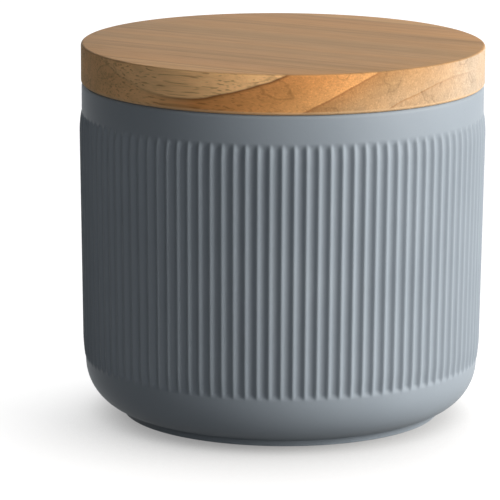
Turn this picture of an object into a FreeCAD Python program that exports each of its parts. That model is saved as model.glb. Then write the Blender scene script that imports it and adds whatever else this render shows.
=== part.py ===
"""Round stoneware storage canister with a fluted wall, a turned wooden lid and a silicone seal.

Frame: origin at the centre of the foot on the table, +Z up along the canister's axis, millimetres.
"""

import FreeCAD
import Part
import Sketcher
import math
import os

document = FreeCAD.newDocument("storage_canister")

# Driving dimensions: alias, value, meaning

DIMENSIONS = (
    ("body_height", 84.0, "table to the rim that the lid rests on"),
    ("band_radius", 50.4, "smooth band under the lid, outside"),
    ("wall_thickness", 4.9, "band outside to mouth inside"),
    ("rim_rounding", 1.0, "both edges of the rim"),
    ("band_height", 6.4, "smooth band between the rim and the run-out of the ribs"),
    ("rib_count", 108, "ribs round the wall"),
    ("rib_rise", 0.58, "rib crests over the smooth band, at the top of the ribs"),
    ("rib_depth", 0.62, "crest to hollow"),
    ("crest_share", 0.28, "part of a rib's pitch that its rounded crest takes, the rest is hollow"),
    ("wall_draft", 0.83, "degrees that the ribbed wall leans in towards the foot"),
    ("top_runout", 3.2, "height in which the ribs run out into the smooth band"),
    ("foot_runout", 2.4, "height in which the ribs run out into the smooth base"),
    ("base_inset", 0.58, "smooth base inside the line of the rib crests"),
    ("corner_radius", 12.1, "rounded corner between wall and foot"),
    ("foot_rise", 1.3, "lowest point of the corner over the table"),
    ("foot_inset", 9.1, "outside of the base to the outside of the foot ring"),
    ("foot_width", 3.6, "flat ring that stands on the table"),
    ("foot_slope", 0.4, "how far the foot ring narrows towards the table on each side"),
    ("foot_recess", 1.6, "hollow inside the foot ring"),
    ("floor_thickness", 5.0, "floor of the canister over the recess"),
    ("inner_corner_radius", 11.0, "rounded corner inside the canister"),
    ("lid_overhang", 0.15, "edge of the wooden disc past the smooth band"),
    ("lid_thickness", 9.9, "wooden disc over the rim"),
    ("lid_top_rounding", 0.6, "upper edge of the disc"),
    ("lid_foot_chamfer", 0.45, "lower edge of the disc"),
    ("plug_gap", 1.9, "mouth to the turned plug under the disc, on the radius"),
    ("groove_drop", 2.2, "underside of the disc to the seal groove"),
    ("groove_height", 4.5, "seal groove in the plug"),
    ("groove_depth", 2.0, "seal groove in the plug"),
    ("plug_land", 2.3, "plug under the seal groove"),
    ("plug_chamfer", 1.0, "lower edge of the plug"),
    ("seal_play", 0.05, "seal to the walls of its groove"),
    ("lip_count", 3, "sealing lips"),
    ("lip_root", 0.85, "lip thickness at the seal's body"),
    ("lip_tip", 0.45, "lip thickness at its edge"),
    ("lip_lift", 0.35, "how far a lip leans up towards its edge"),
    ("lip_play", 0.1, "lip edge to the mouth"),
)

size = document.addObject("Spreadsheet::Sheet", "size")
for row, (alias, value, meaning) in enumerate(DIMENSIONS, start=1):
    size.set(f"A{row}", meaning)
    size.set(f"B{row}", str(value))
    size.setAlias(f"B{row}", alias)
document.recompute()

# Radii and heights that the pieces share, as expressions on the sheet

AXIS = "0"
TABLE = "0"
RIM = "size.body_height"
BAND_END = f"({RIM} - size.band_height)"
RIB_TOP = f"({BAND_END} - size.top_runout)"
BASE_END = "(size.foot_rise + size.corner_radius)"
RIB_FOOT = f"({BASE_END} + size.foot_runout)"
DRAFT_SLOPE = "tan(size.wall_draft * 1 deg)"
CROWN_RADIUS = "(size.band_radius + size.rib_rise)"
CROWN_FOOT = f"({CROWN_RADIUS} - ({RIB_TOP} - {RIB_FOOT}) * {DRAFT_SLOPE})"
BASE_RADIUS = f"({CROWN_RADIUS} - ({RIB_TOP} - {BASE_END}) * {DRAFT_SLOPE} - size.base_inset)"
MOUTH_RADIUS = "(size.band_radius - size.wall_thickness)"
FLOOR_TOP = "(size.foot_recess + size.floor_thickness)"
FOOT_RADIUS = f"({BASE_RADIUS} - size.foot_inset)"
FOOT_INSIDE = f"({FOOT_RADIUS} - 2 * size.foot_slope - size.foot_width)"
FOOT_REACH = "(size.corner_radius - size.foot_inset)"
FOOT_JOIN = f"({BASE_END} - sqrt(pow(size.corner_radius; 2) - pow({FOOT_REACH}; 2)))"
LID_TOP = f"({RIM} + size.lid_thickness)"
LID_RADIUS = "(size.band_radius + size.lid_overhang)"
PLUG_RADIUS = f"({MOUTH_RADIUS} - size.plug_gap)"
GROOVE_RADIUS = f"({PLUG_RADIUS} - size.groove_depth)"
GROOVE_TOP = f"({RIM} - size.groove_drop)"
GROOVE_END = f"({GROOVE_TOP} - size.groove_height)"
PLUG_END = f"({GROOVE_END} - size.plug_land)"
LIP_RADIUS = f"({MOUTH_RADIUS} - size.lip_play)"

# Which side of its chord an arc bulges to, seen along the way from its start to its end
LEFT = -1
RIGHT = 1

SKETCH_ORIGIN = (-1, 1)
START_POINT = 1
END_POINT = 2


def number(expression):
    """Value of an expression on the sheet, as a plain number."""
    return float(size.evalExpression(expression))


def sketch_point(corner):
    """The point that a corner's two expressions, radius and height, name."""
    return FreeCAD.Vector(number(corner[0]), number(corner[1]), 0)


def arc_middle(start, end, radius, side):
    """Middle of the shorter arc of this radius from start to end, bulging to the given side."""
    chord = end - start
    half = chord.Length / 2
    sagitta = radius - math.sqrt(radius * radius - half * half)
    right = FreeCAD.Vector(chord.y, -chord.x, 0).normalize()
    return (start + end) * 0.5 + right * (side * sagitta)


def bind(sketch, constraint, expression):
    """Adds a constraint whose value follows an expression on the sheet."""
    index = sketch.addConstraint(constraint)
    sketch.setExpression(f"Constraints[{index}]", expression)


def half_section(body, name, corners):
    """A closed half section in the XZ plane.

    A corner (radius, height) has a straight run to the next one, and a corner
    (radius, height, arc radius, side) an arc.
    """
    sketch = body.newObject("Sketcher::SketchObject", name)
    plane = next(part for part in body.Origin.OriginFeatures if part.Role == "XZ_Plane")
    sketch.AttachmentSupport = [(plane, "")]
    sketch.MapMode = "FlatFace"
    starts = []
    for index, corner in enumerate(corners):
        start = sketch_point(corner)
        end = sketch_point(corners[(index + 1) % len(corners)])
        if len(corner) == 2:
            sketch.addGeometry(Part.LineSegment(start, end))
            starts.append(START_POINT)
            continue
        middle = arc_middle(start, end, number(corner[2]), corner[3])
        sketch.addGeometry(Part.Arc(start, middle, end))
        runs_on = sketch.getPoint(index, START_POINT).isEqual(start, 1e-6)
        starts.append(START_POINT if runs_on else END_POINT)
    for index, corner in enumerate(corners):
        here = (index, starts[index])
        before = (index - 1) % len(corners)
        before_end = END_POINT if starts[before] == START_POINT else START_POINT
        sketch.addConstraint(Sketcher.Constraint("Coincident", before, before_end, *here))
        for kind, expression in zip(("DistanceX", "DistanceY"), corner):
            constraint = Sketcher.Constraint(kind, *SKETCH_ORIGIN, *here, number(expression))
            bind(sketch, constraint, expression)
        if len(corner) == 4:
            bind(sketch, Sketcher.Constraint("Radius", index, number(corner[2])), corner[2])
    return sketch


def turned(name, corners):
    """A body turned from a half section about the canister's axis."""
    body = document.addObject("PartDesign::Body", name)
    body.Label = name
    sketch = half_section(body, f"{name}_section", corners)
    turn = body.newObject("PartDesign::Revolution", f"{name}_turned")
    turn.Profile = sketch
    turn.ReferenceAxis = (sketch, ["V_Axis"])
    turn.Angle = 360.0
    sketch.Visibility = False
    return body


# Canister body: a smooth base, a ribbed barrel and a smooth band, stacked and hollowed out


def base_form():
    """The rounded base with its foot ring, up to where the ribs begin."""
    return turned("base_form", (
        (AXIS, "size.foot_recess"),
        (FOOT_INSIDE, "size.foot_recess"),
        (f"{FOOT_INSIDE} + size.foot_slope", TABLE),
        (f"{FOOT_RADIUS} - size.foot_slope", TABLE),
        (FOOT_RADIUS, FOOT_JOIN, "size.corner_radius", RIGHT),
        (BASE_RADIUS, BASE_END),
        (AXIS, BASE_END),
    ))


def band_form():
    """The smooth band over the ribs, up to the rim."""
    return turned("band_form", (
        (AXIS, BAND_END),
        ("size.band_radius", BAND_END),
        ("size.band_radius", f"{RIM} - size.rim_rounding", "size.rim_rounding", RIGHT),
        ("size.band_radius - size.rim_rounding", RIM),
        (AXIS, RIM),
    ))


def cavity_form():
    """The space inside the canister, with the rounded inner edge of the rim."""
    return turned("cavity_form", (
        (AXIS, FLOOR_TOP),
        (f"{MOUTH_RADIUS} - size.inner_corner_radius", FLOOR_TOP, "size.inner_corner_radius", RIGHT),
        (MOUTH_RADIUS, f"{FLOOR_TOP} + size.inner_corner_radius"),
        (MOUTH_RADIUS, f"{RIM} - size.rim_rounding", "size.rim_rounding", LEFT),
        (f"{MOUTH_RADIUS} + size.rim_rounding", RIM),
        (AXIS, RIM),
    ))


def outline_edges(height, radius, depth):
    """Edges of the barrel's outline at a height: a narrow rounded crest and a wider hollow, turn by turn."""
    count = int(size.rib_count)
    pitch = 2 * math.pi / count
    half_crest = pitch * size.crest_share / 2
    join = radius - depth * size.crest_share

    def place(distance, angle):
        return FreeCAD.Vector(distance * math.cos(angle), distance * math.sin(angle), height)

    edges = []
    for rib in range(count):
        crest = rib * pitch
        crest_start = place(join, crest - half_crest)
        crest_end = place(join, crest + half_crest)
        hollow_end = place(join, crest + pitch - half_crest)
        hollow_middle = place(radius - depth, crest + pitch / 2)
        edges.append(Part.Arc(crest_start, place(radius, crest), crest_end).toShape())
        edges.append(Part.Arc(crest_end, hollow_middle, hollow_end).toShape())
    return edges


def ribbed_barrel():
    """The ribbed part of the wall as a solid barrel; at both ends the ribs run out into a smooth circle."""
    levels = (
        (BASE_END, BASE_RADIUS, "0"),
        (RIB_FOOT, CROWN_FOOT, "size.rib_depth"),
        (RIB_TOP, CROWN_RADIUS, "size.rib_depth"),
        (BAND_END, "size.band_radius", "0"),
    )
    outlines = [outline_edges(*(number(value) for value in level)) for level in levels]
    faces = [Part.Face(Part.Wire(outlines[0])), Part.Face(Part.Wire(outlines[-1]))]
    for low_edges, high_edges in zip(outlines, outlines[1:]):
        faces += [Part.makeRuledSurface(low, high) for low, high in zip(low_edges, high_edges)]
    shell = Part.Shell(faces)
    shell.sewShape()
    barrel = document.addObject("Part::Feature", "ribbed_barrel")
    barrel.Shape = Part.Solid(shell)
    barrel.Placement = FreeCAD.Placement()
    return barrel


def canister_body():
    outside = document.addObject("Part::MultiFuse", "canister_outside")
    outside.Shapes = [base_form(), ribbed_barrel(), band_form()]
    body = document.addObject("Part::Cut", "canister_body")
    body.Base = outside
    body.Tool = cavity_form()
    body.Label = "canister_body"
    return body


# Wooden lid: a disc with a grooved plug, turned from one piece


def wooden_lid():
    return turned("wooden_lid", (
        (AXIS, PLUG_END),
        (f"{PLUG_RADIUS} - size.plug_chamfer", PLUG_END),
        (PLUG_RADIUS, f"{PLUG_END} + size.plug_chamfer"),
        (PLUG_RADIUS, GROOVE_END),
        (GROOVE_RADIUS, GROOVE_END),
        (GROOVE_RADIUS, GROOVE_TOP),
        (PLUG_RADIUS, GROOVE_TOP),
        (PLUG_RADIUS, RIM),
        (f"{LID_RADIUS} - size.lid_foot_chamfer", RIM),
        (LID_RADIUS, f"{RIM} + size.lid_foot_chamfer"),
        (LID_RADIUS, f"{LID_TOP} - size.lid_top_rounding", "size.lid_top_rounding", RIGHT),
        (f"{LID_RADIUS} - size.lid_top_rounding", LID_TOP),
        (AXIS, LID_TOP),
    ))


# Silicone seal: a ring in the plug's groove, with lips that reach to the mouth


def seal_ring():
    inside = f"({GROOVE_RADIUS} + size.seal_play)"
    low = f"({GROOVE_END} + size.seal_play)"
    high = f"({GROOVE_TOP} - size.seal_play)"
    corners = [(inside, high), (inside, low), (PLUG_RADIUS, low)]
    for lip in range(int(size.lip_count)):
        root = f"({low} + ({high} - {low}) * {lip + 0.5} / size.lip_count)"
        tip = f"({root} + size.lip_lift)"
        corners += [
            (PLUG_RADIUS, f"{root} - size.lip_root / 2"),
            (LIP_RADIUS, f"{tip} - size.lip_tip / 2"),
            (LIP_RADIUS, f"{tip} + size.lip_tip / 2"),
            (PLUG_RADIUS, f"{root} + size.lip_root / 2"),
        ]
    corners.append((PLUG_RADIUS, high))
    return turned("seal_ring", corners)


pieces = [canister_body(), wooden_lid(), seal_ring()]
document.recompute()

for item in document.Objects:
    if "Invalid" in item.State or "Error" in item.State:
        raise RuntimeError(f"{item.Label} did not build: {item.State}")

os.makedirs("parts", exist_ok=True)
for piece in pieces:
    if piece.Shape.isNull() or not piece.Shape.isValid():
        raise RuntimeError(f"{piece.Label} is not a sound solid")
    piece.Shape.exportStep(f"parts/{piece.Label}.step")
    print(piece.Label, "solids", len(piece.Shape.Solids), "faces", len(piece.Shape.Faces),
          "volume", round(piece.Shape.Volume, 1))
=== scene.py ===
"""Studio picture of a ribbed stoneware storage canister with a wooden lid, dressed around its frame.

Metres, +Z up, the canister stands on the floor at the origin and the camera looks along +Y.
"""

import math

import bpy
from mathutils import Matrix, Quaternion, Vector


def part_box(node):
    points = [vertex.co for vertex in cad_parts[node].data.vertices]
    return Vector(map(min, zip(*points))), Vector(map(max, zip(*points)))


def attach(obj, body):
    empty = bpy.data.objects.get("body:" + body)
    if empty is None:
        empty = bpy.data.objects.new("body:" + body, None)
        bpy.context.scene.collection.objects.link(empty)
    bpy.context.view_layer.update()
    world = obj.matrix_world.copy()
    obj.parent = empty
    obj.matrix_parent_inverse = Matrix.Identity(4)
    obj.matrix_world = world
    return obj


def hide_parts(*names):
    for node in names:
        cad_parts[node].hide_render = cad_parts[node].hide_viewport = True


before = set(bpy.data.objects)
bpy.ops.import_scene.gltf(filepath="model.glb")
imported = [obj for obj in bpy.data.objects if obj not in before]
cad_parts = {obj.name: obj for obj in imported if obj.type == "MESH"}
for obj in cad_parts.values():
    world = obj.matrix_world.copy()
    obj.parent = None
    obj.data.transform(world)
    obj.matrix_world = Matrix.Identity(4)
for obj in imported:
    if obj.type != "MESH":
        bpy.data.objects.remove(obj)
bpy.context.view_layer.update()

MM = 0.001

# Places taken from the frame

RIM_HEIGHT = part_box("canister_body")[1].z
LID_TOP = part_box("wooden_lid")[1].z
LID_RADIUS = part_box("wooden_lid")[1].x
PLUG_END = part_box("wooden_lid")[0].z
SEAL_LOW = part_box("seal_ring")[0].z
SEAL_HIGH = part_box("seal_ring")[1].z
LIP_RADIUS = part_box("seal_ring")[1].x

# Canister body

BAND_RADIUS = 50.4 * MM
WALL_THICKNESS = 4.9 * MM
MOUTH_RADIUS = BAND_RADIUS - WALL_THICKNESS
RIM_ROUNDING = 1.0 * MM
RIB_COUNT = 108
RIB_RISE = 0.58 * MM
RIB_DEPTH = 0.70 * MM
RIB_TIP = 0.6
CREST_SHARE = 0.28
CREST_LIFT = 0.2 * MM
WALL_DRAFT = math.radians(0.83)
SMOOTH_TOP = 9.6 * MM
RIB_TOP = RIM_HEIGHT - SMOOTH_TOP
CORNER_RADIUS = 12.1 * MM
BASE_INSET = 0.58 * MM
FOOT_RISE = 1.3 * MM
FOOT_INSET = 9.1 * MM
FOOT_WIDTH = 3.6 * MM
FOOT_SLOPE = 0.4 * MM
FOOT_RECESS = 1.6 * MM
FLOOR_THICKNESS = 5.0 * MM
INNER_CORNER_RADIUS = 11.0 * MM
EDGE_SOFTENING = 0.25 * MM
COLUMNS_PER_RIB = 10
CORNER_STEPS = 14
RIM_STEPS = 4
MOUTH_STEPS = 4
INNER_CORNER_STEPS = 9
FLOOR_STEPS = 3

# Heights between which the wall swells out to the ribs, and between which the ribs themselves fade
BASE_END = FOOT_RISE + CORNER_RADIUS
FOOT_SWELL = (BASE_END - 0.9 * MM, BASE_END + 6.1 * MM)
FOOT_FADE = (BASE_END + 0.1 * MM, BASE_END + 1.9 * MM)
TOP_SWELL = (RIB_TOP - 2.8 * MM, RIB_TOP + 3.2 * MM)
TOP_FADE = (RIB_TOP + 0.75 * MM, RIB_TOP + 2.85 * MM)
FADE_STEP = 0.25 * MM
SWELL_STEP = 1.0 * MM
WALL_STEP = 5.0 * MM

CROWN_RADIUS = BAND_RADIUS + RIB_RISE
BASE_RADIUS = CROWN_RADIUS - (RIB_TOP - BASE_END) * math.tan(WALL_DRAFT) - BASE_INSET
CORNER_CENTRE = BASE_RADIUS - CORNER_RADIUS
FOOT_RADIUS = BASE_RADIUS - FOOT_INSET
FLOOR_TOP = FOOT_RECESS + FLOOR_THICKNESS
RIB_PITCH = 2 * math.pi / RIB_COUNT

# Glaze, with textures in cells to the metre

GLAZE_DARK = (132, 142, 152)
GLAZE_LIGHT = (137, 147, 157)
GLAZE_SPECK = (70, 78, 86)
GLAZE_SPECK_STRENGTH = 0.12
GLAZE_ROUGHNESS = (0.46, 0.51)
GLAZE_SPECULAR = 0.11
CLOUD_SCALE = 38.0
CLOUD_SPAN = (0.3, 0.7)
SPECK_SCALE = 2600.0
PEEL_SCALE = 900.0
PEEL_HEIGHT = 0.02 * MM
PEEL_STRENGTH = 0.5

# Wooden lid

LID_TOP_ROUNDING = 0.6 * MM
LID_FOOT_CHAMFER = 0.45 * MM
PLUG_GAP = 1.9 * MM
PLUG_RADIUS = MOUTH_RADIUS - PLUG_GAP
PLUG_CHAMFER = 1.0 * MM
GROOVE_DEPTH = 2.0 * MM
GROOVE_DROP = 2.2 * MM
GROOVE_HEIGHT = 4.5 * MM
GROOVE_RADIUS = PLUG_RADIUS - GROOVE_DEPTH
GROOVE_TOP = RIM_HEIGHT - GROOVE_DROP
GROOVE_END = GROOVE_TOP - GROOVE_HEIGHT
LID_COLUMNS = 256
LID_EDGE_SOFTENING = 0.2 * MM
LID_EDGE_STEPS = 6
LID_TOP_STEPS = 4

# Wood figure: the pith runs under the lid, along the grain, and each year ends in a dark line

GRAIN_TURN = math.radians(30.0)
PITH_HEIGHT = 36.95 * MM
RING_INSIDE = 44.0 * MM
RING_OUTSIDE = 84.0 * MM
RING_WANDER = 3.0 * MM
RING_RIPPLE = 0.4 * MM
RING_LATE = 4.0 * MM
RING_DARK = 0.6 * MM
RING_EDGE = 0.15 * MM

# Each year: where it ends, then its early, middle and late wood and its dark edge
YEARS = (
    (53.7 * MM, (180, 153, 123), (178, 150, 118), (176, 145, 111), (160, 123, 86)),
    (63.3 * MM, (179, 149, 115), (176, 138, 96), (180, 131, 82), (156, 104, 62)),
    (71.4 * MM, (222, 163, 103), (213, 150, 89), (206, 143, 84), (112, 72, 42)),
    # The outermost year's colours are pushed to nearly full brightness: partly the wood's pale outer wood,
    # partly painted light on the lid's left side.
    (84.0 * MM, (254, 204, 146), (254, 204, 146), (252, 200, 140), (246, 192, 132)),
)
TOP_TAN = (169, 131, 88)
# Pale side colour: partly the wood's paler long grain, partly painted light that brightens the lid's dim
# left side.
SIDE_PALE_AND_PAINTED_LIGHT = (254, 209, 155)
SANDED_PALE_AND_HIGHLIGHT = (216, 182, 142)
# Cream wash on the right-hand end grain: a painted highlight in place of the key lamp's sheen.
PAINTED_HIGHLIGHT_CREAM = (184, 169, 152)
# Pale band along the lid's lower edge: partly sanded wood, partly a painted edge highlight where the chamfer
# is in shade.
PORE_BROWN = (124, 84, 50)
SANDED_HIGHLIGHT_EDGE = 0.95 * MM
SANDED_HIGHLIGHT_STRENGTH = 0.6
PAINTED_HIGHLIGHT_REACH = 18.0 * MM
PAINTED_HIGHLIGHT_STRENGTH = 0.75
FIBRE_RELIEF = 0.35
WOOD_RELIEF = 0.04 * MM
WOOD_BUMP = 0.5
WOOD_SPECULAR = 0.12

# Wood textures: cells to the metre, along the grain and across it
WANDER_CELLS = (9.0, 38.0)
RIPPLE_CELLS = (60.0, 420.0)
BAND_CELLS = (2.6, 90.0)
LINE_CELLS = (3.5, 150.0)
STREAK_CELLS = (14.0, 520.0)
FIBRE_CELLS = (120.0, 2600.0)
VESSEL_CELLS = (70.0, 2300.0)
SPECKLE_CELLS = (1300.0, 2200.0)
BAND_TINTS = [(0.32, (0.88, 0.90, 0.90)), (0.5, (1.0, 1.0, 1.0)), (0.68, (1.06, 1.02, 0.96))]

# Silicone seal

SEAL_CLEARANCE = 0.05 * MM
SEAL_INSIDE = GROOVE_RADIUS + SEAL_CLEARANCE
LIP_COUNT = 3
LIP_ROOT = 0.85 * MM
LIP_TIP = 0.45 * MM
LIP_LIFT = 0.35 * MM
SEAL_COLUMNS = 160
SEAL_EDGE_SOFTENING = 0.12 * MM
SILICONE_DARK = (206, 206, 200)
SILICONE_LIGHT = (216, 216, 212)
SILICONE_ROUGHNESS = 0.42
HAZE_SCALE = 120.0
DUST_SCALE = 1500.0
DUST_HEIGHT = 0.01 * MM
DUST_STRENGTH = 0.4
SCATTER_WEIGHT = 0.25
SCATTER_REACH = 1.0 * MM

# Studio

FLOOR_HALF = 3.0
FLOOR_GREY = 0.2
FLOOR_ROUGHNESS = 0.9
# The floor's glow is darkened near the canister by ambient occlusion: a painted shadow, not one cast by the
# lamps.
FLOOR_GAIN = 1.05
FLOOR_LIFT = 0.17
PAINTED_SHADOW_TILT = (0.18, 0.7, 1.0)
SHADOW_REACH = 0.4
SHADOW_SAMPLES = 16
LAMP_DISTANCE = 0.9
WHITE = (1.0, 1.0, 1.0)

# Each lamp: azimuth, elevation, width, height, watts and colour
LAMPS = (
    ("key_right", 74.0, 21.0, 0.95, 0.5, 17.9, (1.0, 0.955, 0.9)),
    ("fill_front", -2.0, 14.0, 0.4, 0.4, 1.35, (1.0, 0.98, 0.96)),
    ("fill_back", 180.0, 32.0, 0.6, 0.6, 1.6, WHITE),
)

# Camera

TARGET = Vector((0.0, 0.0, 40.8 * MM))
CAMERA_DISTANCE = 1.0
CAMERA_ELEVATION = math.radians(11.82)
CAMERA_SENSOR = 36.0
IMAGE_SIDE = 500.0
FOCAL_PIXELS = 3955.0
AXIS_PIXEL = 281.7
CAMERA_ROLL = math.radians(0.4)
CLIP_START = 0.05

# Rounding of section corners: points on each, and the most of a run that it may take
SOFT_STEPS = 3
SOFT_SHARE = 0.45


# Mesh helpers


def arc(centre, radius, start, end, steps):
    """Points on an arc in the (radius, height) plane, angles in degrees from outward, both ends included."""
    points = []
    for step in range(steps + 1):
        angle = math.radians(start + (end - start) * step / steps)
        points.append((centre[0] + radius * math.cos(angle), centre[1] + radius * math.sin(angle)))
    return points


def run(start, end, steps):
    """Points on a straight run, without its two ends."""
    points = []
    for step in range(1, steps):
        share = step / steps
        points.append((start[0] + (end[0] - start[0]) * share, start[1] + (end[1] - start[1]) * share))
    return points


def soften(corners, radius):
    """A section whose inner corners are rounded by this radius, as far as their runs allow."""
    points = [corners[0]]
    for before, here, after in zip(corners, corners[1:], corners[2:]):
        here_v = Vector(here)
        to_before = Vector(before) - here_v
        to_after = Vector(after) - here_v
        reach = min(radius, to_before.length * SOFT_SHARE, to_after.length * SOFT_SHARE)
        first = here_v + to_before.normalized() * reach
        last = here_v + to_after.normalized() * reach
        for step in range(SOFT_STEPS + 1):
            share = step / SOFT_STEPS
            bend = first.lerp(here_v, share).lerp(here_v.lerp(last, share), share)
            points.append((bend.x, bend.y))
    points.append(corners[-1])
    return points


def turned_mesh(name, section, columns, shape=None):
    """A closed mesh turned from a section that starts and ends on the axis, or that is a closed ring.

    shape(radius, height, column) may move a point of the section in or out at a column.
    """
    vertices = []
    faces = []
    rows = []
    for radius, height in section:
        if radius <= 0.0:
            rows.append([len(vertices)] * columns)
            vertices.append((0.0, 0.0, height))
            continue
        rows.append(list(range(len(vertices), len(vertices) + columns)))
        for column in range(columns):
            angle = 2 * math.pi * column / columns
            here = shape(radius, height, column) if shape else radius
            vertices.append((here * math.cos(angle), here * math.sin(angle), height))
    ring = section[0][0] > 0.0
    pairs = list(zip(rows, rows[1:]))
    if ring:
        pairs.append((rows[-1], rows[0]))
    for low, high in pairs:
        for column in range(columns):
            after = (column + 1) % columns
            corners = (low[column], low[after], high[after], high[column])
            faces.append(tuple(dict.fromkeys(corners)))
    mesh = bpy.data.meshes.new(name)
    mesh.from_pydata(vertices, [], faces)
    mesh.polygons.foreach_set("use_smooth", [True] * len(mesh.polygons))
    mesh.update()
    piece = bpy.data.objects.new(name, mesh)
    bpy.context.scene.collection.objects.link(piece)
    return piece


def dress(piece, node, body, material):
    """Puts a piece in place of a CAD node."""
    piece.data.materials.append(material)
    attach(piece, body)
    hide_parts(node)


# Node helpers


class Nodes:
    """Short ways to add nodes to one material."""

    def __init__(self, name):
        self.material = bpy.data.materials.new(name)
        self.material.use_nodes = True
        self.tree = self.material.node_tree
        self.shader = self.tree.nodes["Principled BSDF"]

    def add(self, kind, inputs=None, **settings):
        """A node with its settings; inputs are values, or sockets to link."""
        node = self.tree.nodes.new(kind)
        for key, value in settings.items():
            setattr(node, key, value)
        for key, value in (inputs or {}).items():
            self.put(node.inputs[key], value)
        return node

    def put(self, socket, value):
        if isinstance(value, bpy.types.NodeSocket):
            self.tree.links.new(value, socket)
        else:
            socket.default_value = value

    def math(self, operation, first, second=0.0, third=0.0):
        node = self.add("ShaderNodeMath", {0: first, 1: second, 2: third}, operation=operation)
        return node.outputs[0]

    def ramp(self, factor, stops):
        """A colour ramp with stops of (place, colour)."""
        node = self.add("ShaderNodeValToRGB", {"Fac": factor})
        elements = node.color_ramp.elements
        while len(elements) < len(stops):
            elements.new(0.5)
        for element, (place, colour) in zip(elements, stops):
            element.position = place
            element.color = (*colour, 1.0)
        return node.outputs["Color"]

    def grey_ramp(self, factor, stops):
        return self.ramp(factor, [(place, (value,) * 3) for place, value in stops])

    def mix(self, factor, first, second, blend="MIX"):
        node = self.add("ShaderNodeMix", data_type="RGBA", blend_type=blend)
        self.put(node.inputs["Factor"], factor)
        self.put(node.inputs["A"], first)
        self.put(node.inputs["B"], second)
        return node.outputs["Result"]

    def noise(self, vector, scale, detail=2.0, roughness=0.5, distortion=0.0):
        node = self.add("ShaderNodeTexNoise", {
            "Vector": vector, "Scale": scale, "Detail": detail,
            "Roughness": roughness, "Distortion": distortion,
        })
        return node.outputs["Fac"]

    def bump(self, height, distance, strength):
        node = self.add("ShaderNodeBump", {"Height": height, "Distance": distance, "Strength": strength})
        return node.outputs["Normal"]

    def shade(self, **inputs):
        """Sets the shader's own sockets, by name with underscores for spaces."""
        for key, value in inputs.items():
            self.put(self.shader.inputs[key.replace("_", " ")], value)


def linear(red, green, blue):
    """A colour written as 0 to 255 in the display's own scale, as the shader's linear numbers."""
    channels = []
    for value in (red, green, blue):
        share = value / 255.0
        channels.append(share / 12.92 if share <= 0.04045 else ((share + 0.055) / 1.055) ** 2.4)
    return tuple(channels)


def opaque(colour):
    return (*linear(*colour), 1.0)


# Canister body


def ease(value, start, end):
    """0 up to start and 1 from end on, with a smooth change between them."""
    share = min(max((value - start) / (end - start), 0.0), 1.0)
    return share * share * (3.0 - 2.0 * share)


def arc_drop(offset, half_width, sagitta):
    """How far an arc of this half width and sagitta has dropped at an offset from its middle."""
    radius = (half_width * half_width + sagitta * sagitta) / (2 * sagitta)
    return radius - math.sqrt(radius * radius - offset * offset)


def crown_at(height):
    return CROWN_RADIUS - (RIB_TOP - height) * math.tan(WALL_DRAFT)


def base_at(height):
    """The smooth base: its rounded corner, then a drafted wall."""
    if height >= BASE_END:
        return crown_at(height) - BASE_INSET
    return CORNER_CENTRE + math.sqrt(CORNER_RADIUS ** 2 - (BASE_END - height) ** 2)


def wall_at(height):
    """The wall without ribs: from the smooth base it swells out under them, and back in to the band."""
    wall = crown_at(height) - CREST_LIFT
    swell = ease(height, *FOOT_SWELL)
    smooth = base_at(height) * (1.0 - swell) + wall * swell
    band = ease(height, *TOP_SWELL)
    return smooth * (1.0 - band) + BAND_RADIUS * band


def rib_drop(angle):
    """How far the ribs have dropped from their crests: a narrow rounded crest, then a wider hollow."""
    turn = abs((angle / RIB_PITCH + 0.5) % 1.0 - 0.5) * RIB_PITCH * BAND_RADIUS
    half_pitch = RIB_PITCH * BAND_RADIUS / 2
    half_crest = half_pitch * CREST_SHARE
    crest_depth = RIB_DEPTH * CREST_SHARE
    if turn < half_crest:
        return arc_drop(turn, half_crest, crest_depth)
    return RIB_DEPTH - arc_drop(half_pitch - turn, half_pitch - half_crest, RIB_DEPTH - crest_depth)


RIB_WAVE = [rib_drop(RIB_PITCH * column / COLUMNS_PER_RIB) / RIB_DEPTH for column in range(COLUMNS_PER_RIB)]


def ribbed(radius, height, column):
    """A point of the canister's section, moved out to the ribs where it lies on the ribbed wall.

    The crests grow narrower where the ribs fade, so that they end in soft tips.
    """
    if radius < MOUTH_RADIUS + RIM_ROUNDING:
        return radius
    fade = ease(height, *FOOT_FADE) * (1.0 - ease(height, *TOP_FADE))
    drop = RIB_WAVE[column % COLUMNS_PER_RIB] ** (1.0 - RIB_TIP * (1.0 - fade))
    return radius + fade * (CREST_LIFT - RIB_DEPTH * drop)


def heights(start, end, step):
    """Evenly spaced heights from start up to, but not with, end."""
    count = max(round((end - start) / step), 1)
    return [start + (end - start) * index / count for index in range(count)]


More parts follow.
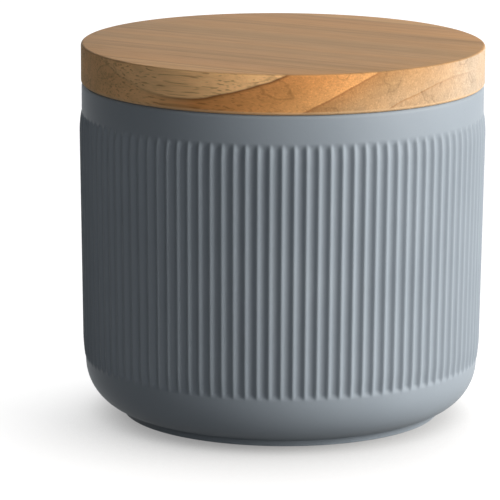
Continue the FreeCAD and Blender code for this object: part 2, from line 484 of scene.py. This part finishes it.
def canister_section():
    """Half section from the middle of the underside, round the outside and the rim, to the inner floor."""
    foot_inside = FOOT_RADIUS - 2 * FOOT_SLOPE - FOOT_WIDTH
    foot_reach = FOOT_RADIUS - CORNER_CENTRE
    join_angle = -math.degrees(math.acos(foot_reach / CORNER_RADIUS))
    foot_join = BASE_END + CORNER_RADIUS * math.sin(math.radians(join_angle))
    underside = soften([
        (0.0, FOOT_RECESS),
        (foot_inside, FOOT_RECESS),
        (foot_inside + FOOT_SLOPE, 0.0),
        (FOOT_RADIUS - FOOT_SLOPE, 0.0),
        (FOOT_RADIUS, foot_join),
    ], EDGE_SOFTENING)
    corner_end = math.degrees(math.asin((FOOT_SWELL[0] - BASE_END) / CORNER_RADIUS))
    corner = arc((CORNER_CENTRE, BASE_END), CORNER_RADIUS, join_angle, corner_end, CORNER_STEPS)
    bends = (FOOT_SWELL[0], *FOOT_FADE, FOOT_SWELL[1], TOP_SWELL[0], *TOP_FADE, TOP_SWELL[1])
    steps = (SWELL_STEP, FADE_STEP, SWELL_STEP, WALL_STEP, SWELL_STEP, FADE_STEP, SWELL_STEP)
    levels = []
    for start, end, step in zip(bends, bends[1:], steps):
        levels += heights(start, end, step)
    wall = [(wall_at(height), height) for height in levels[1:] + [TOP_SWELL[1]]]
    rim_centre = RIM_HEIGHT - RIM_ROUNDING
    outer_rim = arc((BAND_RADIUS - RIM_ROUNDING, rim_centre), RIM_ROUNDING, 0.0, 90.0, RIM_STEPS)
    inner_rim = arc((MOUTH_RADIUS + RIM_ROUNDING, rim_centre), RIM_ROUNDING, 90.0, 180.0, RIM_STEPS)
    inner_centre = (MOUTH_RADIUS - INNER_CORNER_RADIUS, FLOOR_TOP + INNER_CORNER_RADIUS)
    inner_corner = arc(inner_centre, INNER_CORNER_RADIUS, 0.0, -90.0, INNER_CORNER_STEPS)
    mouth_wall = run(inner_rim[-1], inner_corner[0], MOUTH_STEPS)
    floor = run(inner_corner[-1], (0.0, FLOOR_TOP), FLOOR_STEPS) + [(0.0, FLOOR_TOP)]
    return underside + corner[1:] + wall + outer_rim + inner_rim + mouth_wall + inner_corner + floor


def glaze_material():
    """Matt blue-grey glaze: a nearly even colour with a faint bloom, fine orange peel and tiny specks."""
    nodes = Nodes("matt_glaze")
    place = nodes.add("ShaderNodeTexCoord").outputs["Object"]
    cloud = nodes.noise(place, CLOUD_SCALE, 3.0, 0.55)
    low, high = CLOUD_SPAN
    colour = nodes.ramp(cloud, [(low, linear(*GLAZE_DARK)), (high, linear(*GLAZE_LIGHT))])
    speck = nodes.noise(place, SPECK_SCALE, 2.0, 0.6)
    speck_mask = nodes.grey_ramp(speck, [(0.66, 0.0), (0.74, 1.0)])
    colour = nodes.mix(nodes.math("MULTIPLY", speck_mask, GLAZE_SPECK_STRENGTH), colour, opaque(GLAZE_SPECK))
    roughness = nodes.add("ShaderNodeMapRange", {
        "Value": cloud, "From Min": low, "From Max": high,
        "To Min": GLAZE_ROUGHNESS[0], "To Max": GLAZE_ROUGHNESS[1],
    }).outputs["Result"]
    peel = nodes.noise(place, PEEL_SCALE, 2.0, 0.5)
    normal = nodes.bump(peel, PEEL_HEIGHT, PEEL_STRENGTH)
    nodes.shade(Base_Color=colour, Roughness=roughness, Normal=normal, Specular_IOR_Level=GLAZE_SPECULAR)
    return nodes.material


def make_canister():
    columns = RIB_COUNT * COLUMNS_PER_RIB
    piece = turned_mesh("stoneware_canister", canister_section(), columns, ribbed)
    dress(piece, "canister_body", "canister", glaze_material())


# Wooden lid


def ring_stops():
    """Colour by distance from the pith: early, middle and late wood of each year, then its edge."""
    span = RING_OUTSIDE - RING_INSIDE
    stops = []
    start = RING_INSIDE
    for line, early, middle, late, edge in YEARS:
        places = (start, line - RING_LATE, line - RING_DARK, line - RING_EDGE)
        for distance, colour in zip(places, (early, middle, late, edge)):
            stops.append(((distance - RING_INSIDE) / span, linear(*colour)))
        start = line
    return stops


def wood_material():
    """Oiled hardwood with its pith below the lid: growth rings, fibres along the grain and open pores."""
    nodes = Nodes("oiled_wood")
    coordinates = nodes.add("ShaderNodeTexCoord")
    grain = nodes.add("ShaderNodeMapping", {
        "Vector": coordinates.outputs["Object"],
        "Rotation": (0.0, 0.0, GRAIN_TURN),
        "Location": (0.0, 0.0, -PITH_HEIGHT),
    }).outputs["Vector"]

    def grain_noise(cells, detail, roughness, distortion=0.0):
        """Noise with these many cells to the metre, along the grain and across it."""
        scale = (cells[0], cells[1], cells[1])
        vector = nodes.add("ShaderNodeMapping", {"Vector": grain, "Scale": scale}).outputs["Vector"]
        return nodes.noise(vector, 1.0, detail, roughness, distortion)

    def multiply(colour, tint):
        return nodes.mix(1.0, colour, tint, "MULTIPLY")

    across = nodes.add("ShaderNodeMapping", {"Vector": grain, "Scale": (0.0, 1.0, 1.0)}).outputs["Vector"]
    distance = nodes.add("ShaderNodeVectorMath", {0: across}, operation="LENGTH").outputs["Value"]
    wander = nodes.math("SUBTRACT", grain_noise(WANDER_CELLS, 2.0, 0.5), 0.5)
    ripple = nodes.math("SUBTRACT", grain_noise(RIPPLE_CELLS, 2.0, 0.5), 0.5)
    distance = nodes.math("ADD", distance, nodes.math("MULTIPLY", wander, RING_WANDER))
    distance = nodes.math("ADD", distance, nodes.math("MULTIPLY", ripple, RING_RIPPLE))
    year = nodes.add("ShaderNodeMapRange", {
        "Value": distance, "From Min": RING_INSIDE, "From Max": RING_OUTSIDE,
    }).outputs["Result"]
    colour = nodes.ramp(year, ring_stops())

    normal = coordinates.outputs["Normal"]
    facing = nodes.add("ShaderNodeVectorMath", {
        0: normal, 1: (math.cos(GRAIN_TURN), -math.sin(GRAIN_TURN), 0.0),
    }, operation="DOT_PRODUCT").outputs["Value"]
    facing = nodes.math("MULTIPLY_ADD", facing, 0.5, 0.5)
    end_grain = nodes.grey_ramp(facing, [(0.05, 1.0), (0.35, 0.0), (0.6, 0.0), (0.85, 1.0)])
    painted_light_far_end = nodes.grey_ramp(facing, [(0.1, 0.8), (0.4, 0.7), (0.55, 0.0)])
    upward = nodes.add("ShaderNodeSeparateXYZ", {0: normal}).outputs["Z"]
    face_up = nodes.grey_ramp(upward, [(0.4, 0.0), (0.9, 0.8)])
    # Painted light: the far end grain and the long grain beside it are washed pale, partly the wood's own
    # paler side and partly light that the lid's left side does not get.
    colour = nodes.mix(painted_light_far_end, colour, opaque(SIDE_PALE_AND_PAINTED_LIGHT))
    # Painted highlight: a cream wash on the end grain facing right, growing towards the back, in place of
    # the key lamp's sheen.
    sideways = nodes.add("ShaderNodeSeparateXYZ", {0: grain}).outputs["Y"]
    painted_highlight = nodes.add("ShaderNodeMapRange", {
        "Value": sideways, "From Min": -PAINTED_HIGHLIGHT_REACH, "From Max": PAINTED_HIGHLIGHT_REACH / 2, "To Max": PAINTED_HIGHLIGHT_STRENGTH,
    }, interpolation_type="SMOOTHSTEP").outputs["Result"]
    near_end = nodes.grey_ramp(facing, [(0.7, 0.0), (0.95, 1.0)])
    colour = nodes.mix(nodes.math("MULTIPLY", painted_highlight, near_end), colour, opaque(PAINTED_HIGHLIGHT_CREAM))
    colour = nodes.mix(face_up, colour, opaque(TOP_TAN))

    bands = grain_noise(BAND_CELLS, 3.0, 0.5)
    colour = multiply(colour, nodes.ramp(bands, BAND_TINTS))
    lines = grain_noise(LINE_CELLS, 2.0, 0.5, 0.2)
    colour = multiply(colour, nodes.grey_ramp(lines, [(0.585, 1.0), (0.61, 0.76), (0.635, 1.0)]))
    streaks = grain_noise(STREAK_CELLS, 3.0, 0.55)
    colour = multiply(colour, nodes.grey_ramp(streaks, [(0.3, 0.9), (0.5, 1.0), (0.7, 1.05)]))
    fibres = grain_noise(FIBRE_CELLS, 3.0, 0.6)
    colour = multiply(colour, nodes.grey_ramp(fibres, [(0.25, 0.88), (0.75, 1.09)]))

    vessels = grain_noise(VESSEL_CELLS, 1.0, 0.4)
    pore_mask = nodes.grey_ramp(vessels, [(0.58, 0.0), (0.68, 1.0)])
    side_pores = nodes.grey_ramp(end_grain, [(0.0, 0.5), (0.5, 0.2), (1.0, 0.12)])
    top_pores = nodes.grey_ramp(face_up, [(0.0, 1.0), (0.8, 0.3)])
    pore_tint = nodes.math("MULTIPLY", side_pores, top_pores)
    colour = nodes.mix(nodes.math("MULTIPLY", pore_mask, pore_tint), colour, opaque(PORE_BROWN))
    speckle = grain_noise(SPECKLE_CELLS, 2.0, 0.6)
    speckle = nodes.grey_ramp(speckle, [(0.3, 0.88), (0.5, 0.98), (0.6, 1.04), (0.7, 1.2)])
    colour = nodes.mix(end_grain, colour, multiply(colour, speckle))

    height_on_lid = nodes.add("ShaderNodeSeparateXYZ", {0: coordinates.outputs["Object"]}).outputs["Z"]
    # Pale band along the lower edge: partly sanded wood, partly a painted edge highlight.
    sanded_highlight_edge = nodes.add("ShaderNodeMapRange", {
        "Value": height_on_lid,
        "From Min": RIM_HEIGHT + SANDED_HIGHLIGHT_EDGE,
        "From Max": RIM_HEIGHT + SANDED_HIGHLIGHT_EDGE / 2,
        "To Max": SANDED_HIGHLIGHT_STRENGTH,
    }).outputs["Result"]
    colour = nodes.mix(sanded_highlight_edge, colour, opaque(SANDED_PALE_AND_HIGHLIGHT))

    height = nodes.math("SUBTRACT", nodes.math("MULTIPLY", fibres, FIBRE_RELIEF), pore_mask)
    normal = nodes.bump(height, WOOD_RELIEF, WOOD_BUMP)
    nodes.shade(Base_Color=colour, Normal=normal, Specular_IOR_Level=WOOD_SPECULAR)
    nodes.shade(Roughness=nodes.grey_ramp(fibres, [(0.3, 0.7), (0.7, 0.62)]))
    return nodes.material


def lid_section():
    edge_centre = (LID_RADIUS - LID_TOP_ROUNDING, LID_TOP - LID_TOP_ROUNDING)
    rounded_top = arc(edge_centre, LID_TOP_ROUNDING, 0.0, 90.0, LID_EDGE_STEPS)
    below = soften([
        (0.0, PLUG_END),
        (PLUG_RADIUS - PLUG_CHAMFER, PLUG_END),
        (PLUG_RADIUS, PLUG_END + PLUG_CHAMFER),
        (PLUG_RADIUS, GROOVE_END),
        (GROOVE_RADIUS, GROOVE_END),
        (GROOVE_RADIUS, GROOVE_TOP),
        (PLUG_RADIUS, GROOVE_TOP),
        (PLUG_RADIUS, RIM_HEIGHT),
        (LID_RADIUS - LID_FOOT_CHAMFER, RIM_HEIGHT),
        (LID_RADIUS, RIM_HEIGHT + LID_FOOT_CHAMFER),
        rounded_top[0],
    ], LID_EDGE_SOFTENING)
    top = run(rounded_top[-1], (0.0, LID_TOP), LID_TOP_STEPS) + [(0.0, LID_TOP)]
    return below + rounded_top[1:] + top


def make_lid():
    piece = turned_mesh("turned_wooden_lid", lid_section(), LID_COLUMNS)
    dress(piece, "wooden_lid", "lid", wood_material())


# Silicone seal


def silicone_material():
    nodes = Nodes("milky_silicone")
    place = nodes.add("ShaderNodeTexCoord").outputs["Object"]
    haze = nodes.noise(place, HAZE_SCALE, 2.0, 0.5)
    colour = nodes.ramp(haze, [(0.3, linear(*SILICONE_DARK)), (0.7, linear(*SILICONE_LIGHT))])
    dust = nodes.noise(place, DUST_SCALE, 2.0, 0.6)
    normal = nodes.bump(dust, DUST_HEIGHT, DUST_STRENGTH)
    nodes.shade(Base_Color=colour, Roughness=SILICONE_ROUGHNESS, Normal=normal)
    nodes.shade(Subsurface_Weight=SCATTER_WEIGHT, Subsurface_Scale=SCATTER_REACH)
    return nodes.material


def seal_section():
    corners = [(SEAL_INSIDE, SEAL_HIGH), (SEAL_INSIDE, SEAL_LOW), (PLUG_RADIUS, SEAL_LOW)]
    pitch = (SEAL_HIGH - SEAL_LOW) / LIP_COUNT
    for lip in range(LIP_COUNT):
        root = SEAL_LOW + pitch * (lip + 0.5)
        tip = root + LIP_LIFT
        corners += [
            (PLUG_RADIUS, root - LIP_ROOT / 2),
            (LIP_RADIUS, tip - LIP_TIP / 2),
            (LIP_RADIUS, tip + LIP_TIP / 2),
            (PLUG_RADIUS, root + LIP_ROOT / 2),
        ]
    corners.append((PLUG_RADIUS, SEAL_HIGH))
    closed = soften([corners[-1]] + corners + [corners[0]], SEAL_EDGE_SOFTENING)
    return closed[1:-1]


def make_seal():
    piece = turned_mesh("silicone_seal", seal_section(), SEAL_COLUMNS)
    dress(piece, "seal_ring", "seal", silicone_material())


# Studio


def make_floor():
    half = FLOOR_HALF
    mesh = bpy.data.meshes.new("studio_floor")
    corners = [(-half, -half, 0.0), (half, -half, 0.0), (half, half, 0.0), (-half, half, 0.0)]
    mesh.from_pydata(corners, [], [(0, 1, 2, 3)])
    floor = bpy.data.objects.new("studio_floor", mesh)
    bpy.context.scene.collection.objects.link(floor)
    nodes = Nodes("white_floor")
    path = nodes.add("ShaderNodeLightPath")
    seen = nodes.math("MAXIMUM", path.outputs["Is Camera Ray"], path.outputs["Is Glossy Ray"])
    seen = nodes.math("MAXIMUM", seen, path.outputs["Is Transmission Ray"])
    painted_shadow_axis = dict(enumerate(Vector(PAINTED_SHADOW_TILT).normalized()))
    tilt = nodes.add("ShaderNodeCombineXYZ", painted_shadow_axis).outputs["Vector"]
    # Painted shadow: tilted ambient occlusion darkens the floor's glow round the canister.
    painted_shadow = nodes.add("ShaderNodeAmbientOcclusion", {
        "Distance": SHADOW_REACH, "Normal": tilt,
    }, samples=SHADOW_SAMPLES).outputs["AO"]
    glow = nodes.math("MINIMUM", nodes.math("MULTIPLY_ADD", painted_shadow, FLOOR_GAIN, FLOOR_LIFT), 1.0)
    glow = nodes.math("MULTIPLY", glow, seen)
    grey = (FLOOR_GREY, FLOOR_GREY, FLOOR_GREY, 1.0)
    nodes.shade(Base_Color=grey, Roughness=FLOOR_ROUGHNESS, Specular_IOR_Level=0.0)
    nodes.shade(Emission_Color=(*WHITE, 1.0), Emission_Strength=glow)
    mesh.materials.append(nodes.material)


def add_area(name, place, width, height, power, colour):
    light = bpy.data.lights.new(name, "AREA")
    light.shape = "RECTANGLE"
    light.size = width
    light.size_y = height
    light.energy = power
    light.color = colour
    lamp = bpy.data.objects.new(name, light)
    lamp.location = place
    lamp.rotation_euler = (TARGET - place).to_track_quat("-Z", "Y").to_euler()
    bpy.context.scene.collection.objects.link(lamp)


def lamp_place(azimuth, elevation):
    """A place round the canister; azimuth 0 is on the camera's side and 90 to its right."""
    turn = math.radians(azimuth)
    lift = math.radians(elevation)
    flat = LAMP_DISTANCE * math.cos(lift)
    return Vector((flat * math.sin(turn), -flat * math.cos(turn), LAMP_DISTANCE * math.sin(lift))) + TARGET


def make_lights():
    for name, azimuth, elevation, width, height, power, colour in LAMPS:
        add_area(name, lamp_place(azimuth, elevation), width, height, power, colour)
    world = bpy.data.worlds.new("studio")
    bpy.context.scene.world = world
    world.use_nodes = True
    tree = world.node_tree
    background = tree.nodes["Background"]
    path = tree.nodes.new("ShaderNodeLightPath")
    seen = path.outputs["Is Camera Ray"]
    for other in ("Is Glossy Ray", "Is Transmission Ray"):
        larger = tree.nodes.new("ShaderNodeMath")
        larger.operation = "MAXIMUM"
        tree.links.new(seen, larger.inputs[0])
        tree.links.new(path.outputs[other], larger.inputs[1])
        seen = larger.outputs[0]
    tree.links.new(seen, background.inputs["Strength"])
    background.inputs["Color"].default_value = (*WHITE, 1.0)


def make_camera():
    camera = bpy.data.cameras.new("camera")
    camera.sensor_width = CAMERA_SENSOR
    camera.lens = FOCAL_PIXELS / IMAGE_SIDE * CAMERA_SENSOR
    camera.shift_x = (IMAGE_SIDE / 2 - AXIS_PIXEL) / IMAGE_SIDE
    camera.clip_start = CLIP_START
    holder = bpy.data.objects.new("camera", camera)
    away = Vector((0.0, -math.cos(CAMERA_ELEVATION), math.sin(CAMERA_ELEVATION)))
    holder.location = TARGET + away * CAMERA_DISTANCE
    level = (-away).to_track_quat("-Z", "Y")
    holder.rotation_euler = (level @ Quaternion((0.0, 0.0, 1.0), CAMERA_ROLL)).to_euler()
    bpy.context.scene.collection.objects.link(holder)
    bpy.context.scene.camera = holder


make_canister()
make_lid()
make_seal()
make_floor()
make_lights()
make_camera()
bpy.context.scene.view_settings.view_transform = "Standard"
